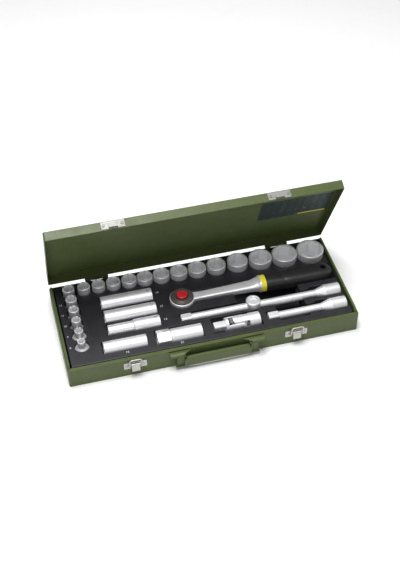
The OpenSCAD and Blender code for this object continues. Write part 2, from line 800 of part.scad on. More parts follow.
// Toothed wheel, journal and square drive in one piece, bored for the button's stem and the ball.
module ratchet_drive() {
    steps = [for (i = [0:2 * gear_teeth - 1]) i];
    tooth = [for (i = steps) let (a = i * 180 / gear_teeth, r = gear_r - (i % 2) * 0.9) r * [cos(a), sin(a)]];
    color("gray") at_head() difference() {
        union() {
            translate([0, 0, 26]) linear_extrude(8.5) polygon(tooth);
            translate([0, 0, head_floor]) cylinder(h = 6, r = journal_r);
            translate([0, 0, square_tip]) intersection() {
                box([-drive / 2, -drive / 2, 0], [drive / 2, drive / 2, head_floor + 1 - square_tip]);
                cylinder(h = 30, r = square_r);
                translate([0, 0, -0.01]) cylinder(h = 30, r1 = 6.6, r2 = 36.6);
            }
        }
        translate([0, 0, 17]) cylinder(h = 20, r = 2.6);
        translate([0, -drive, 14.2]) rotate([-90, 0, 0]) cylinder(h = drive, r = ball_r + running);
    }
}

module ratchet_ball() {
    color("white") at_head() translate([0, -drive / 2 + 1.6, 14.2]) sphere(r = ball_r);
}

module ratchet_pawl() {
    color("gray") translate([0, ratchet_y, 0]) difference() {
        union() {
            box([head_x + 12.2, -5.3, 26], [head_x + 16.6, 5.3, 34.5]);
            translate([pawl_x, 0, 22.5]) cylinder(h = 13, r = pawl_pin_r);
        }
        translate([head_x, 0, 25]) cylinder(h = 12, r = gear_r + 1);
    }
}

// Ribbed selector ring that also closes the head.
module ratchet_dial() {
    low = head_top + 0.2;
    color([0.3, 0.27, 0.24]) at_head() rotate_extrude() polygon([[button_r + 0.2, low], [dial_r, low],
        [dial_r, low + 1.4], [dial_r - 3.4, dial_top - 0.6], [dial_r - 4.4, dial_top],
        [button_r + 1.6, dial_top], [button_r + 1.2, dial_top - 0.4], [button_r + 0.2, dial_top - 0.4]]);
}

module release_button() {
    color("red") at_head() rotate_extrude() polygon([[0, 20], [2.5, 20], [2.5, 37.6], [button_r, 37.6],
        [button_r, button_top - 0.8], [button_r - 0.8, button_top - 0.15], [0, button_top]]);
}

module ratchet_ring() {
    flat = 11.8;
    color("gold") translate([ring_x, ratchet_y, grip_z]) difference() {
        rod_x(0, ring_w, 12.9);
        for (side = [0, 1]) mirror([0, 0, side]) box([-1, -15, flat], [ring_w + 1, 15, flat + 5]);
        translate([0, 0, tang_z - grip_z]) rod_x(-1, ring_w + 1, tang_r);
    }
}

// Moulded grip: a waisted outline in plan and in side view, with a hole to hang it up by.
module ratchet_grip() {
    plan = [[0, 12.6], [8, 13], [40, 13.4], [70, 14.2], [90, 14.8], [100, 13.6], [105, 10], [107, 4]];
    side = [[0, 11.8], [20, 11.8], [80, 11.8], [98, 10.6], [104, 8.5], [107, 4]];
    scale_x = (grip_end - grip_x) / 107;
    fitted = [for (p = plan) [p[0] * scale_x, p[1]]];
    color([0.1, 0.1, 0.11]) translate([grip_x, ratchet_y, grip_z]) difference() {
        intersection() {
            translate([0, 0, -20]) linear_extrude(40) polygon(mirrored(fitted));
            translate([0, 30, 0]) rotate([90, 0, 0]) linear_extrude(60)
                polygon(mirrored([for (p = side) [p[0] * scale_x, p[1]]]));
        }
        translate([93, 0, -20]) cylinder(h = 40, r = 4.6);
        translate([0, 0, tang_z - grip_z]) rod_x(-1, tang_end - grip_x, tang_r);
    }
}

base_shell();
lid_shell();
base_hinge_leaves();
lid_hinge_leaves();
hinge_pins();
lid_label();
tray();
handle_brackets();
handle_pins();
handle();
latch_plates();
latch_rivets();
latch_pins();
latch_lever_left();
latch_lever_right();
latch_bail_left();
latch_bail_right();
catch_plates();
catch_rivets();
socket_08();
socket_09();
socket_10();
socket_11();
socket_12();
socket_13();
socket_14();
socket_15();
socket_16();
socket_17();
socket_18();
socket_19();
socket_20();
socket_21();
socket_22();
socket_24();
socket_27();
socket_30();
socket_32();
deep_socket_13();
deep_socket_17();
deep_socket_19();
spark_plug_socket_16();
spark_plug_socket_21();
spark_plug_rubber_16();
spark_plug_rubber_21();
extension_250();
extension_125();
sliding_t_head();
universal_joint_driver();
universal_joint_cross();
universal_joint_socket();
ratchet_body();
ratchet_ring();
ratchet_grip();
ratchet_dial();
release_button();
ratchet_drive();
ratchet_pawl();
ratchet_ball();
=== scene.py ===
"""Looks of the socket wrench set in its case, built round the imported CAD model."""

import json
import math

import bmesh
import bpy
from mathutils import Matrix, Vector


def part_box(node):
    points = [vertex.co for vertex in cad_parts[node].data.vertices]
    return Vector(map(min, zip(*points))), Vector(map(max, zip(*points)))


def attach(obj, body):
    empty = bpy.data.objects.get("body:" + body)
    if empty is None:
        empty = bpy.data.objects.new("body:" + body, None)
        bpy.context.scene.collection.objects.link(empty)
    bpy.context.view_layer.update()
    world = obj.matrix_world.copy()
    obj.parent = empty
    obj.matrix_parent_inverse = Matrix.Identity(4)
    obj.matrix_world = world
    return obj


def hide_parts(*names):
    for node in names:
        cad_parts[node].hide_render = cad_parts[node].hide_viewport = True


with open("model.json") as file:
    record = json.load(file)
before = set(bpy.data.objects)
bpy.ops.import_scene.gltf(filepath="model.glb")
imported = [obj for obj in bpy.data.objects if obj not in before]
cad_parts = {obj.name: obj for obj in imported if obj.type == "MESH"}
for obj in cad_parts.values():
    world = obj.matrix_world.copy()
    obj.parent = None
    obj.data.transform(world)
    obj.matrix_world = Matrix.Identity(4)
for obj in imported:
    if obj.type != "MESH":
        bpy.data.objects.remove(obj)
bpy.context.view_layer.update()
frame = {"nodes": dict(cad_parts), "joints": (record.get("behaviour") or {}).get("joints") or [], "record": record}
NODES = frame["nodes"]
BODY_OF = {n: b for b, ns in frame["record"]["behaviour"]["bodies"].items() for n in ns}
SLOT_OF = {s["node"]: s["material_slot"] for s in frame["record"]["subparts"]}
LID_HINGE = next(j for j in frame["joints"] if j["name"] == "lid_hinge")
LID_PIVOT = Vector(LID_HINGE["pos_m"])
LID_ANGLE = math.radians(-LID_HINGE["range_deg"][0])
MM = 0.001


# ---- sizes, in metres unless a comment says otherwise ----

# CAD meshes: vertices nearer than this are merged, and faces within this many degrees are one plane
MERGE_DISTANCE = 2e-6
MERGE_ANGLE = 0.8

# A socket's face is inside its bore when its normal points in, towards the axis, by this cosine
BORE_COSINE = 0.2

# Ratchet head, in mm: outside radius, and its turned outline as (radius, height above its underside)
HEAD_RADIUS = 19.0
HEAD_OUTLINE = [(9.65, 0), (15.6, 0), (17.0, 0.35), (18.2, 1.2), (18.85, 2.4), (19.0, 3.8), (19.0, 10.6),
                (18.75, 10.9), (18.75, 11.3), (19.0, 11.6), (19.0, 16.4), (18.8, 17.0), (18.3, 17.4),
                (17.6, 17.5), (12.8, 17.5), (12.8, 5.2), (9.65, 5.2)]
HEAD_FACETS = 128

# Ratchet neck, in mm: its axis above the head's underside, how far that climbs and between which
# distances from the dial's axis, and sections as (distance, half width, half height, squareness)
NECK_HEIGHT = 12.5
NECK_CLIMB = 1.5
NECK_CLIMB_SPAN = (105, 123)
NECK_SECTIONS = [(13.5, 8.2, 4.4, 5), (18, 7.8, 4.4, 5), (30, 7.2, 4.1, 5), (60, 7.6, 4.9, 5),
                 (90, 8.5, 5.5, 4.5), (108, 9.5, 6.2, 4), (117, 10.9, 8.4, 3.4), (122.8, 12.4, 11.3, 3.2)]
NECK_RINGS = 90

# Ring between neck and grip: share of its size lost at its waist and at its two ends, and squareness
BAND_WAIST = 0.035
BAND_ROUNDING = 0.06
BAND_SQUARENESS = 2.7
BAND_RINGS = 13

# Grip: sections as (share of its length, half width in mm, half height in mm, squareness)
GRIP_SECTIONS = [(0.0, 12.6, 11.4, 2.9), (0.07, 12.9, 11.4, 3.0), (0.28, 13.4, 11.1, 3.2),
                 (0.36, 14.1, 11.3, 3.4), (0.62, 14.4, 11.3, 3.4), (0.82, 14.6, 11.2, 3.3),
                 (0.92, 13.2, 10.3, 3.0), (0.965, 10.6, 8.7, 2.7), (0.99, 7.4, 6.2, 2.5),
                 (1.0, 3.6, 3.4, 2.2)]
GRIP_RINGS = 150
GRIP_CROWDING = 1.25    # above 1, the rings stand closer together towards the round end

# Raised pads along the grip's top and underside: height, the shares of its length between which they
# rise and fall, and the sines of the angles round it between which they rise
PAD_HEIGHT = 0.00045
PAD_START = (0.27, 0.30)
PAD_END = (0.88, 0.92)
PAD_EDGE = (0.42, 0.52)

# Hanging hole of the grip: from the grip's ring end, its radius, and how far its cutter stands proud
HANGING_HOLE = 0.093
HANGING_HOLE_RADIUS = 0.0046
CUTTER_MARGIN = 0.01

# Printed numbers: half their thickness, and their lift off the tray and off a socket's wall
PRINT_HALF_THICKNESS = 0.00003
TRAY_PRINT_LIFT = 0.00006
SOCKET_PRINT_LIFT = 0.00005

# Height of the numbers beside the left column, beside the lying sockets and on the deep sockets
COLUMN_NUMBER = 0.0046
TRAY_NUMBER = 0.0052
SOCKET_NUMBER = 0.0058

# Where the numbers stand: the left column's own line, how far off a lying socket's end or side they
# are, how far in from a deep socket's end, and how far below a socket's middle line
COLUMN_NUMBER_X = -0.2085
BESIDE_END = 0.0082
BESIDE_SIDE = 0.0060
INSIDE_END = 0.0062
NUMBER_DROP = 0.001

# Lid, while it is shut: its outside above the hinge's axis, its sheet and its label
LID_RISE = 0.0142
LID_SHEET = 0.001
LABEL_FILM = 0.0003

# Coloured bar on the label, while the lid is shut: its ends along X, its edges along Y, its thickness,
# its gap to the film, and the length and depth of the taper at its ends
BAR_X = (0.169, 0.213)
BAR_Y = (0.0072, 0.0098)
BAR_THICKNESS = 0.00006
BAR_GAP = 0.00002
BAR_TAPER = 0.0003
BAR_INSET = 0.0002

# Stage: camera place, its turn in degrees and its lens in mm; floor radius and its drop below the case
CAMERA_PLACE = (-0.2762, -1.0763, 1.1990)
CAMERA_TURN = (44.505, 0.327, -14.585)
CAMERA_LENS = 67.23
CAMERA_SENSOR = 36.0
FLOOR_RADIUS = 6.0
FLOOR_DROP = 0.0002
WORLD_STRENGTH = 0.29


# ---- node helpers ----

def shader(name, **values):
    """A new material with these Principled values."""
    mat = bpy.data.materials.new(name)
    mat.use_nodes = True
    tree = mat.node_tree
    bsdf = tree.nodes["Principled BSDF"]
    for key, value in values.items():
        bsdf.inputs[key.replace("_", " ")].default_value = value
    return mat, tree, bsdf


def link(tree, a, b):
    tree.links.new(a, b)


def coords(tree, stretch=(1, 1, 1), turn=(0, 0, 0), shift=(0, 0, 0)):
    """Object coordinates, which are the frame's own metres, stretched, turned and shifted."""
    tex = tree.nodes.new("ShaderNodeTexCoord")
    mapping = tree.nodes.new("ShaderNodeMapping")
    mapping.inputs["Scale"].default_value = stretch
    mapping.inputs["Rotation"].default_value = turn
    mapping.inputs["Location"].default_value = shift
    link(tree, tex.outputs["Object"], mapping.inputs["Vector"])
    return mapping.outputs["Vector"]


def noise(tree, scale, detail=3.0, stretch=(1, 1, 1)):
    tex = tree.nodes.new("ShaderNodeTexNoise")
    tex.inputs["Scale"].default_value = scale
    tex.inputs["Detail"].default_value = detail
    tex.inputs["Roughness"].default_value = 0.55
    link(tree, coords(tree, stretch), tex.inputs["Vector"])
    return tex.outputs["Fac"]


def bricks(tree, vector, width, height, mortar, colours, offset, squash=1.0):
    """Brick pattern in metres. Its colours are the bricks' two and the mortar's."""
    tex = tree.nodes.new("ShaderNodeTexBrick")
    tex.offset = offset
    tex.squash = squash
    sizes = {"Scale": 1.0, "Brick Width": width, "Row Height": height, "Mortar Size": mortar}
    for key, size in sizes.items():
        tex.inputs[key].default_value = size
    for key, colour in zip(("Color1", "Color2", "Mortar"), colours):
        tex.inputs[key].default_value = (*colour, 1)
    link(tree, vector, tex.inputs["Vector"])
    return tex.outputs["Color"]


def fit(tree, value, low, high, to_low, to_high):
    """value, from low..high to to_low..to_high, held inside them."""
    node = tree.nodes.new("ShaderNodeMapRange")
    limits = {"From Min": low, "From Max": high, "To Min": to_low, "To Max": to_high}
    for key, limit in limits.items():
        node.inputs[key].default_value = limit
    link(tree, value, node.inputs["Value"])
    return node.outputs["Result"]


def times(tree, a, b):
    """Product of a socket and either a number or another socket."""
    node = tree.nodes.new("ShaderNodeMath")
    node.operation = "MULTIPLY"
    for socket, value in zip(node.inputs, (a, b)):
        if isinstance(value, float):
            socket.default_value = value
        else:
            link(tree, value, socket)
    return node.outputs[0]


def mix(tree, factor, a, b):
    """Colour from a to b by factor; each may be a colour or a socket."""
    node = tree.nodes.new("ShaderNodeMix")
    node.data_type = "RGBA"
    link(tree, factor, node.inputs["Factor"])
    for socket, value in ((node.inputs[6], a), (node.inputs[7], b)):
        if isinstance(value, tuple):
            socket.default_value = (*value, 1.0)
        else:
            link(tree, value, socket)
    return node.outputs[2]


def bump(tree, bsdf, height, strength, distance):
    """Adds a bump on top of any bump already there."""
    node = tree.nodes.new("ShaderNodeBump")
    node.inputs["Strength"].default_value = strength
    node.inputs["Distance"].default_value = distance
    link(tree, height, node.inputs["Height"])
    if bsdf.inputs["Normal"].is_linked:
        link(tree, bsdf.inputs["Normal"].links[0].from_socket, node.inputs["Normal"])
    link(tree, node.outputs["Normal"], bsdf.inputs["Normal"])


def edges(tree, radius):
    """1 on convex and concave edges, 0 on open faces."""
    soft = tree.nodes.new("ShaderNodeBevel")
    soft.samples = 4
    soft.inputs["Radius"].default_value = radius
    geometry = tree.nodes.new("ShaderNodeNewGeometry")
    dot = tree.nodes.new("ShaderNodeVectorMath")
    dot.operation = "DOT_PRODUCT"
    link(tree, soft.outputs["Normal"], dot.inputs[0])
    link(tree, geometry.outputs["Normal"], dot.inputs[1])
    return fit(tree, dot.outputs["Value"], 0.995, 0.90, 0.0, 1.0)


def shade(tree, bsdf, base, dark, light, scale):
    """Uneven base colour: base, drifting to dark and to light over the surface."""
    drift = fit(tree, noise(tree, scale, 4), 0.35, 0.65, 0.0, 1.0)
    speck = fit(tree, noise(tree, scale * 14, 2), 0.35, 0.75, 0.0, 1.0)
    colour = mix(tree, speck, mix(tree, drift, dark, base), light)
    link(tree, colour, bsdf.inputs["Base Color"])
    return colour


def uneven_gloss(tree, bsdf, low, high, scale, stretch=(1, 1, 1)):
    """Roughness that wanders between low and high."""
    rough = fit(tree, noise(tree, scale, 4, stretch), 0.3, 0.7, low, high)
    link(tree, rough, bsdf.inputs["Roughness"])


# ---- materials ----

def green_paint():
    """Slightly hammered green paint, rubbed paler along its edges."""
    mat, tree, bsdf = shader("green_paint", Specular_IOR_Level=0.32)
    base = shade(tree, bsdf, (0.066, 0.088, 0.027), (0.058, 0.078, 0.023), (0.076, 0.100, 0.032), 22)
    patches = fit(tree, noise(tree, 160, 4), 0.42, 0.66, 0.12, 0.75)
    worn = times(tree, edges(tree, 0.0009), patches)
    link(tree, mix(tree, worn, base, (0.130, 0.155, 0.070)), bsdf.inputs["Base Color"])
    uneven_gloss(tree, bsdf, 0.34, 0.50, 45)
    bump(tree, bsdf, noise(tree, 900, 2), 0.22, 0.00010)
    bump(tree, bsdf, noise(tree, 9, 2), 0.25, 0.0006)
    return mat


def satin_chrome():
    """Plated tool steel with a fine satin, faint grime and a painted highlight along its edges."""
    mat, tree, bsdf = shader("satin_chrome", Metallic=0.60, Specular_IOR_Level=0.8)
    base = shade(tree, bsdf, (0.76, 0.76, 0.78), (0.70, 0.70, 0.72), (0.81, 0.81, 0.83), 40)
    grime = fit(tree, noise(tree, 130, 5), 0.58, 0.80, 0.0, 0.16)
    dull = mix(tree, grime, base, (0.55, 0.55, 0.56))
    # Painted highlight: the edges are mixed towards near white, standing in for light caught on the rims.
    rim_highlight = times(tree, edges(tree, 0.0006), 0.6)
    link(tree, mix(tree, rim_highlight, dull, (0.96, 0.96, 0.96)), bsdf.inputs["Base Color"])
    uneven_gloss(tree, bsdf, 0.42, 0.50, 70)
    bump(tree, bsdf, noise(tree, 2600, 2), 0.05, 0.00004)
    return mat


def chrome_bore():
    """The duller plating inside a socket, its colour painted paler as light reaching into the bore, with painted
    shade in its corners.
    """
    mat, tree, bsdf = shader("chrome_bore", Metallic=0.30, Specular_IOR_Level=0.8)
    # Painted light: the bore's colour is near white, paler than the outside, so the bore looks lit.
    base = shade(tree, bsdf, (0.94, 0.94, 0.96), (0.88, 0.88, 0.90), (0.97, 0.97, 0.98), 70)
    # Painted shade: the edges and corners inside the bore go nearly black.
    link(tree, mix(tree, edges(tree, 0.0010), base, (0.10, 0.10, 0.11)), bsdf.inputs["Base Color"])
    uneven_gloss(tree, bsdf, 0.30, 0.40, 110)
    bump(tree, bsdf, noise(tree, 1800, 2), 0.06, 0.00004)
    return mat


def bright_steel(name="bright_steel", tone=1.0):
    """Zinc-plated sheet with faint rolling marks; a tone below 1 paints it darker, as painted shade."""
    mat, tree, bsdf = shader(name, Metallic=0.85)
    colours = ((0.47, 0.465, 0.44), (0.39, 0.385, 0.365), (0.55, 0.54, 0.515))
    base, dark, light = (tuple(tone * part for part in colour) for colour in colours)
    shade(tree, bsdf, base, dark, light, 110)
    uneven_gloss(tree, bsdf, 0.46, 0.60, 260, (1, 1, 5))
    bump(tree, bsdf, noise(tree, 700, 3, (0.25, 1, 4)), 0.10, 0.00005)
    return mat


def dark_steel():
    """Hardened, oiled steel."""
    mat, tree, bsdf = shader("dark_steel", Metallic=1.0)
    shade(tree, bsdf, (0.30, 0.30, 0.30), (0.20, 0.20, 0.21), (0.38, 0.37, 0.36), 90)
    uneven_gloss(tree, bsdf, 0.28, 0.46, 150)
    bump(tree, bsdf, noise(tree, 1500, 3), 0.2, 0.00006)
    return mat


def tray_plastic():
    """Black moulded sheet with a fine grain and a painted highlight along its edges."""
    mat, tree, bsdf = shader("tray_plastic", Specular_IOR_Level=0.42)
    base = shade(tree, bsdf, (0.0135, 0.0125, 0.0165), (0.0100, 0.0092, 0.0125),
                 (0.0175, 0.0165, 0.0210), 30)
    # Painted highlight: the edges are mixed paler, standing in for light caught on the rounded rims.
    edge_highlight = times(tree, edges(tree, 0.0010), 0.55)
    link(tree, mix(tree, edge_highlight, base, (0.075, 0.073, 0.085)), bsdf.inputs["Base Color"])
    uneven_gloss(tree, bsdf, 0.38, 0.52, 55)
    grain = tree.nodes.new("ShaderNodeTexVoronoi")
    grain.inputs["Scale"].default_value = 1100
    link(tree, coords(tree), grain.inputs["Vector"])
    bump(tree, bsdf, grain.outputs["Distance"], 0.12, 0.00010)
    return mat


def plastic(name, base, dark, light, gloss, coat=0.0, grain=1400.0):
    """Moulded plastic or rubber. gloss is its least and greatest roughness."""
    mat, tree, bsdf = shader(name, Specular_IOR_Level=0.5, Coat_Weight=coat, Coat_Roughness=0.12)
    shade(tree, bsdf, base, dark, light, 120)
    uneven_gloss(tree, bsdf, *gloss, 160)
    bump(tree, bsdf, noise(tree, grain, 2), 0.10, 0.00006)
    return mat


def label_film():
    """Dark film with columns of fine, unreadable print, laid out in the lid's own plane."""
    mat, tree, bsdf = shader("label_film", Specular_IOR_Level=0.25, Roughness=0.5)
    shift = LID_PIVOT - Matrix.Rotation(LID_ANGLE, 3, "X") @ LID_PIVOT
    plane = coords(tree, turn=(LID_ANGLE, 0, 0), shift=tuple(shift))
    inks = ((0.30, 0.37, 0.35), (0.020, 0.036, 0.034), (0.014, 0.028, 0.026))
    lines = bricks(tree, plane, width=0.0016, height=0.0042, mortar=0.0005, colours=inks,
                   offset=0.37, squash=0.6)
    strengths = ((1.0,) * 3, (0.10,) * 3, (0.0,) * 3)
    columns = bricks(tree, plane, width=0.0122, height=0.2, mortar=0.0026, colours=strengths,
                     offset=0.0)
    print_colour = mix(tree, columns, (0.015, 0.030, 0.028), lines)
    fade = fit(tree, noise(tree, 25, 3), 0.3, 0.7, 0.0, 0.45)
    link(tree, mix(tree, fade, print_colour, (0.013, 0.026, 0.024)), bsdf.inputs["Base Color"])
    bump(tree, bsdf, noise(tree, 200, 2), 0.08, 0.0001)
    return mat


def print_ink(name, base, dark, light):
    """Matt printing ink."""
    mat, tree, bsdf = shader(name, Specular_IOR_Level=0.3)
    shade(tree, bsdf, base, dark, light, 500)
    uneven_gloss(tree, bsdf, 0.5, 0.7, 300)
    return mat


MATERIALS = {
    "green_paint": green_paint(),
    "satin_chrome": satin_chrome(),
    "chrome_bore": chrome_bore(),
    "bright_steel": bright_steel(),
    # The catches' steel: the same zinc-plated sheet at half tone, painted shade that holds down the light they
    # catch on the open lid.
    "shaded_catch_steel": bright_steel("shaded_catch_steel", 0.50),
    "dark_steel": dark_steel(),
    "tray_plastic": tray_plastic(),
    "label": label_film(),
    "ink": print_ink("print_ink", (0.62, 0.62, 0.62), (0.42, 0.42, 0.43), (0.72, 0.72, 0.72)),
    "dark_ink": print_ink("dark_ink", (0.05, 0.05, 0.05), (0.03, 0.03, 0.03), (0.09, 0.09, 0.09)),
    "dial": plastic("dial", (0.050, 0.041, 0.034), (0.038, 0.031, 0.026), (0.064, 0.054, 0.046),
                    (0.38, 0.52)),
    "red_plastic": plastic("red_plastic", (0.46, 0.010, 0.020), (0.40, 0.008, 0.015),
                           (0.52, 0.014, 0.025), (0.28, 0.40), coat=0.3),
    "yellow_plastic": plastic("yellow_plastic", (0.74, 0.62, 0.025), (0.64, 0.53, 0.018),
                              (0.80, 0.70, 0.05), (0.36, 0.5)),
    "grip_plastic": plastic("grip_plastic", (0.0105, 0.0105, 0.0115), (0.007, 0.007, 0.008),
                            (0.017, 0.017, 0.018), (0.40, 0.56), grain=900),
    "rubber": plastic("rubber", (0.016, 0.016, 0.016), (0.011, 0.011, 0.011), (0.024, 0.024, 0.024),
                      (0.6, 0.8)),
}


# ---- mesh helpers ----

def corners(node):
    """Lowest and highest corner of a CAD node."""
    low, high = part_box(node)
    return Vector(low), Vector(high)


def middle(node):
    """Centre and size of a CAD node's box."""
    low, high = corners(node)
    return (low + high) / 2, high - low


def place(name, data):
    """A new object in the scene, from its mesh, curve, camera or light."""
    item = bpy.data.objects.new(name, data)
    bpy.context.scene.collection.objects.link(item)
    return item


def to_mesh(build, name):
    """The mesh that was being built, finished."""
    mesh = bpy.data.meshes.new(name)
    build.to_mesh(mesh)
    build.free()
    return mesh


def evaluated(item):
    """A mesh of an object with its modifiers applied, or of a text object's letters."""
    return bpy.data.meshes.new_from_object(item.evaluated_get(bpy.context.evaluated_depsgraph_get()))


def add(name, mesh, body, slot, stands_for=(), material=None):
    """A new piece from a mesh: riding on its body, with its material."""
    piece = place(name, mesh)
    mesh.materials.clear()
    mesh.materials.append(MATERIALS[material or slot])
    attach(piece, body)
    if stands_for:
        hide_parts(*stands_for)
    return piece


def smooth(piece, angle):
    """Smooth faces with creases above this angle, and normals that follow the larger faces."""
    for face in piece.data.polygons:
        face.use_smooth = True
    piece.data.set_sharp_from_angle(angle=math.radians(angle))
    normals = piece.modifiers.new("Normals", "WEIGHTED_NORMAL")
    normals.keep_sharp = True
    normals.weight = 80


def rounded(piece, width, segments, angle):
    """Rounds the edges above this angle."""
    bevel = piece.modifiers.new("Rounding", "BEVEL")
    bevel.width = width
    bevel.segments = segments
    bevel.limit_method = "ANGLE"
    bevel.angle_limit = math.radians(angle)
    bevel.use_clamp_overlap = False


def refine(node, width=0.00025, segments=2, angle=35, crease=50, material=None):
    """The CAD node's shape with merged faces and small rounded edges; it stands for the node."""
    mesh = NODES[node].data.copy()
    build = bmesh.new()
    build.from_mesh(mesh)
    bmesh.ops.remove_doubles(build, verts=build.verts, dist=MERGE_DISTANCE)
    bmesh.ops.dissolve_limit(build, angle_limit=math.radians(MERGE_ANGLE), verts=build.verts,
                             edges=build.edges)
    build.to_mesh(mesh)
    build.free()
    piece = add(node + "_look", mesh, BODY_OF[node], SLOT_OF[node], [node], material)
    if width:
        rounded(piece, width, segments, angle)
    smooth(piece, crease)
    return piece


def from_rings(rings, loop=False):
    """A mesh skinned over rings of points: in a loop, or with its first and last ring closed."""
    build = bmesh.new()
    made = [[build.verts.new(p) for p in ring] for ring in rings]
    count = len(rings[0])
    following = made[1:] + made[:1] if loop else made[1:]
    for a, b in zip(made, following):
        for i in range(count):
            build.faces.new((a[i], a[(i + 1) % count], b[(i + 1) % count], b[i]))
    if not loop:
        build.faces.new(reversed(made[0]))
        build.faces.new(made[-1])
    bmesh.ops.recalc_face_normals(build, faces=build.faces)
    return to_mesh(build, "skin")


def step(value, low, high):
    """0 below low, 1 above high, and a smooth rise between them."""
    t = min(max((value - low) / (high - low), 0.0), 1.0)
    return t * t * (3 - 2 * t)


def between(table, x, ease=0.35):
    """Row of numbers at x, from rows of (x, numbers...), eased a little at each row."""
    for a, b in zip(table, table[1:]):
        if x <= b[0]:
            share = min(max((x - a[0]) / (b[0] - a[0]), 0), 1)
            t = ease * step(x, a[0], b[0]) + (1 - ease) * share
            return [p + (q - p) * t for p, q in zip(a[1:], b[1:])]
    return list(table[-1][1:])


def section(x, y, z, half_y, half_z, power, count=72, pad=0.0):
    """Superellipse ring in the Y-Z plane, with its top and underside raised by pad."""
    ring = []
    for i in range(count):
        angle = 2 * math.pi * i / count
        c, s = math.cos(angle), math.sin(angle)
        more = pad * step(abs(s), *PAD_EDGE)
        ring.append((x, y + math.copysign(abs(c) ** (2 / power), c) * (half_y + more),
                     z + math.copysign(abs(s) ** (2 / power), s) * (half_z + more)))
    return ring


def cylinder(x, y, low, high, radius):
    """A loose upright cylinder, for cutting."""
    build = bmesh.new()
    bmesh.ops.create_cone(build, cap_ends=True, segments=64, radius1=radius, radius2=radius,
                          depth=high - low)
    bmesh.ops.translate(build, verts=build.verts, vec=(x, y, (low + high) / 2))
    return place("cutter", to_mesh(build, "cutter"))


def cut(piece, cutter):
    """Takes cutter out of piece and deletes it."""
    hole = piece.modifiers.new("Cut", "BOOLEAN")
    hole.operation = "DIFFERENCE"
    hole.object = cutter
    hole.solver = "EXACT"
    mesh = evaluated(piece)
    piece.modifiers.remove(hole)
    whole = piece.data
    mesh.materials.clear()
    mesh.materials.append(whole.materials[0])
    piece.data = mesh
    bpy.data.meshes.remove(whole)
    bpy.data.objects.remove(cutter)


# ---- pieces ----

def case_pieces():
    """Case, hinges, handle, label and latches. Widths are those of the rounded edges."""
    for node in ("base_shell", "lid_shell"):
        refine(node, width=0.00042, segments=3, angle=40, crease=40)
    for node in ("base_hinge_leaves", "lid_hinge_leaves"):
        refine(node, width=0.00020)
    refine("handle_brackets", width=0.00025, crease=45)
    refine("handle", width=0.00040, segments=3, crease=45)
    refine("lid_label", width=0.00005, segments=1)
    for node in ("hinge_pins", "handle_pins", "latch_pins"):
        refine(node, width=0.00020)
    refine("latch_plates", width=0.00018)
    # The catches and their rivets take the darker copy of the steel, painted shade.
    refine("catch_plates", width=0.00018, material="shaded_catch_steel")
    refine("latch_rivets", width=0.00012)
    refine("catch_rivets", width=0.00012, material="shaded_catch_steel")
    for side in ("left", "right"):
        refine("latch_lever_" + side, width=0.00022)
        refine("latch_bail_" + side, width=0.0, crease=60)


def tray_piece():
    refine("tray", width=0.0, crease=62)


def dull_bore(piece, axis, centre):
    """Gives the faces that look in towards a socket's axis the duller plating, painted paler as light in the bore,
    with painted shade in its corners.
    """
    piece.data.materials.append(MATERIALS["chrome_bore"])
    for face in piece.data.polygons:
        out = Vector(face.center) - centre
        out[axis] = 0.0
        if face.normal.dot(out) < -BORE_COSINE * out.length:
            face.material_index = 1


def sockets():
    """All sockets, with duller bores painted paler as light and darkened in their corners as painted shade, and
    the rubber inserts of the spark-plug sockets.
    """
    for node in NODES:
        if node.startswith(("socket_", "deep_socket_", "spark_plug_socket_")):
            piece = refine(node, width=0.00030, angle=30, crease=38)
            axis = 2 if node.startswith("socket_") else 1
            dull_bore(piece, axis, middle(node)[0])
    for node in ("spark_plug_rubber_16", "spark_plug_rubber_21"):
        refine(node, width=0.0003)


def drive_tools():
    """Extension bars, T head and universal joint."""
    for node in ("extension_250", "extension_125", "sliding_t_head",
                 "universal_joint_driver", "universal_joint_socket", "universal_joint_cross"):
        refine(node, width=0.00035, segments=3, angle=30, crease=40)


def ratchet_head(x, y, z, radius):
    """Forged round head with a rolled lower edge, a fine parting groove and a small top land."""
    unit = radius / HEAD_RADIUS
    rings = []
    for i in range(HEAD_FACETS):
        angle = 2 * math.pi * i / HEAD_FACETS
        c, s = math.cos(angle), math.sin(angle)
        rings.append([(x + r * unit * c, y + r * unit * s, z + height * MM) for r, height in HEAD_OUTLINE])
    mesh = from_rings(rings, loop=True)
    smooth(add("ratchet_head_look", mesh, "ratchet", "satin_chrome", ["ratchet_body"]), 48)


def ratchet_neck(x, y, z, end):
    """Flat forged neck from inside the head's wall to the ring, where it widens and climbs."""
    start = NECK_SECTIONS[0][0]
    length = (end - x) / MM - start
    rings = []
    for i in range(NECK_RINGS):
        along = start + length * i / (NECK_RINGS - 1)
        half_y, half_z, power = between(NECK_SECTIONS, along)
        climb = NECK_CLIMB * step(along, *NECK_CLIMB_SPAN)
        rings.append(section(x + along * MM, y, z + (NECK_HEIGHT + climb) * MM,
                             half_y * MM, half_z * MM, power))
    neck = add("ratchet_neck_look", from_rings(rings), "ratchet", "satin_chrome", ["ratchet_body"])
    smooth(neck, 60)


def ratchet_band():
    """Moulded ring between neck and grip, with a soft waist."""
    mid, size = middle("ratchet_ring")
    rings = []
    for i in range(BAND_RINGS):
        t = i / (BAND_RINGS - 1)
        belly = math.sin(math.pi * t)
        share = 1.0 - BAND_WAIST * belly - BAND_ROUNDING * (1 - belly ** 0.25)
        rings.append(section(mid.x + size.x * (t - 0.5), mid.y, mid.z, size.y / 2 * share,
                             size.z / 2 * share, BAND_SQUARENESS))
    band = add("ratchet_ring_look", from_rings(rings), "ratchet", "yellow_plastic", ["ratchet_ring"])
    smooth(band, 50)


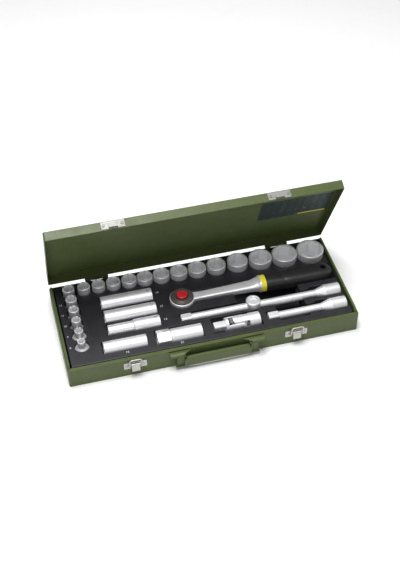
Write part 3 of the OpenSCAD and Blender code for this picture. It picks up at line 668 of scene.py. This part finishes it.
def ratchet_grip():
    """Moulded grip: slimmer by the ring, raised pads above and below, round end, hanging hole."""
    low, high = corners("ratchet_grip")
    mid = (low + high) / 2
    rings = []
    for i in range(GRIP_RINGS):
        t = 1 - (1 - i / (GRIP_RINGS - 1)) ** GRIP_CROWDING
        half_y, half_z, power = between(GRIP_SECTIONS, t)
        pad = PAD_HEIGHT * step(t, *PAD_START) * (1 - step(t, *PAD_END))
        rings.append(section(low.x + (high.x - low.x) * t, mid.y, mid.z, half_y * MM, half_z * MM,
                             power, count=120, pad=pad))
    grip = add("ratchet_grip_look", from_rings(rings), "ratchet", "grip_plastic", ["ratchet_grip"])
    cut(grip, cylinder(low.x + HANGING_HOLE, mid.y, low.z - CUTTER_MARGIN, high.z + CUTTER_MARGIN,
                       HANGING_HOLE_RADIUS))
    smooth(grip, 50)


def ratchet():
    """The ratchet's outside from new meshes, its small parts from the CAD nodes."""
    dial, _ = middle("ratchet_dial")
    low, _ = corners("ratchet_body")
    ratchet_head(dial.x, dial.y, low.z, dial.x - low.x)
    ratchet_neck(dial.x, dial.y, low.z, corners("ratchet_ring")[0].x)
    ratchet_band()
    ratchet_grip()
    refine("ratchet_dial", width=0.0005, segments=4, angle=20, crease=60)
    refine("release_button", width=0.0004, segments=3, angle=30, crease=60)
    refine("ratchet_drive", angle=30, crease=40)
    refine("ratchet_pawl", width=0.0002)
    refine("ratchet_ball", width=0.0, crease=80)


# ---- size numbers and the label's bar ----

def number(size, x, y, z, height, body, turn=0.0, ink="ink", radius=0.0):
    """A printed size, named by itself and its place. With a radius it wraps round a rod along X."""
    curve = bpy.data.curves.new("number", "FONT")
    curve.body = str(size)
    curve.size = height
    curve.align_x = "CENTER"
    curve.align_y = "CENTER"
    curve.extrude = PRINT_HALF_THICKNESS
    curve.resolution_u = 4
    loose = place("number", curve)
    mesh = evaluated(loose)
    mesh.transform(Matrix.Translation((x, y, z)) @ Matrix.Rotation(turn, 4, "Z"))
    bpy.data.objects.remove(loose)
    if radius:
        for vertex in mesh.vertices:
            vertex.co.z += math.sqrt(radius ** 2 - (vertex.co.y - y) ** 2) - radius
    add("number_%d_%d" % (size, round(x / MM) + 300), mesh, body, "label", material=ink)


def numbers():
    """Sizes printed on the tray and on the deep sockets."""
    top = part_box("tray")[1][2] + TRAY_PRINT_LIFT
    for size in (12, 11, 10, 9, 8):
        mid, _ = middle("socket_%02d" % size)
        number(size, COLUMN_NUMBER_X, mid.y - NUMBER_DROP, top, COLUMN_NUMBER, "tray")
    for size in (19, 17, 13):
        node = "deep_socket_%d" % size
        mid, span = middle(node)
        number(size, mid.x + span.x / 2 + BESIDE_END, mid.y - NUMBER_DROP, top, TRAY_NUMBER, "tray")
        number(size, mid.x + span.x / 2 - INSIDE_END, mid.y, mid.z + span.z / 2 + SOCKET_PRINT_LIFT,
               SOCKET_NUMBER, node, turn=math.pi / 2, ink="dark_ink", radius=span.z / 2)
    for size in (16, 21):
        mid, span = middle("spark_plug_socket_%d" % size)
        number(size, mid.x, mid.y - span.y / 2 - BESIDE_SIDE, top, TRAY_NUMBER, "tray")


def label_bar():
    """Narrow coloured bar printed along the label's edge nearest the hinge."""
    open_lid = (Matrix.Translation(LID_PIVOT) @ Matrix.Rotation(-LID_ANGLE, 4, "X")
                @ Matrix.Translation(-LID_PIVOT))
    top = LID_PIVOT.z + LID_RISE - LID_SHEET - LABEL_FILM - BAR_GAP
    under = top - BAR_THICKNESS
    left, right = BAR_X
    near, far = BAR_Y
    stations = ((left, BAR_INSET), (left + BAR_TAPER, 0.0), (right - BAR_TAPER, 0.0), (right, BAR_INSET))
    rings = []
    for x, inset in stations:
        ring = [(x, near + inset, under), (x, far - inset, under),
                (x, far - inset, top), (x, near + inset, top)]
        rings.append([open_lid @ Vector(corner) for corner in ring])
    add("label_strip", from_rings(rings), "lid", "label", material="yellow_plastic")


# ---- stage ----

def camera():
    data = bpy.data.cameras.new("camera")
    data.lens = CAMERA_LENS
    data.sensor_width = CAMERA_SENSOR
    data.clip_end = 20
    view = place("camera", data)
    view.location = CAMERA_PLACE
    view.rotation_euler = [math.radians(a) for a in CAMERA_TURN]
    bpy.context.scene.camera = view


def floor():
    """Plain pale floor."""
    build = bmesh.new()
    bmesh.ops.create_circle(build, cap_ends=True, segments=96, radius=FLOOR_RADIUS)
    mesh = to_mesh(build, "floor")
    mat, tree, bsdf = shader("floor", Specular_IOR_Level=0.15)
    shade(tree, bsdf, (0.92, 0.92, 0.92), (0.91, 0.91, 0.91), (0.93, 0.93, 0.93), 3)
    uneven_gloss(tree, bsdf, 0.75, 0.9, 8)
    mesh.materials.append(mat)
    ground = place("floor", mesh)
    ground.location.z = -FLOOR_DROP


def softbox(name, at, target, size, power):
    """White rectangular light at a place, looking at a target. Its power is in watts."""
    data = bpy.data.lights.new(name, "AREA")
    data.shape = "RECTANGLE"
    data.size, data.size_y = size
    data.energy = power
    lamp = place(name, data)
    lamp.location = at
    lamp.rotation_euler = (Vector(target) - Vector(at)).to_track_quat("-Z", "Y").to_euler()


def light():
    """Soft studio light: a white surround, a large softbox overhead and two small ones."""
    world = bpy.data.worlds.new("studio")
    world.use_nodes = True
    background = world.node_tree.nodes["Background"]
    background.inputs["Color"].default_value = (1, 1, 1, 1)
    background.inputs["Strength"].default_value = WORLD_STRENGTH
    bpy.context.scene.world = world
    softbox("overhead", at=(-0.20, 0.0, 1.6), target=(0, 0, 0), size=(1.3, 0.7), power=33)
    softbox("front", at=(-0.5, -1.6, 0.7), target=(0, 0, 0.03), size=(1.2, 0.5), power=4.2)
    softbox("right", at=(1.5, -0.2, 0.9), target=(0, 0, 0.03), size=(0.6, 0.9), power=4)
    settings = bpy.context.scene.view_settings
    settings.view_transform = "Standard"
    settings.look = "None"


case_pieces()
tray_piece()
sockets()
drive_tools()
ratchet()
numbers()
label_bar()
camera()
floor()
light()
bpy.context.view_layer.update()
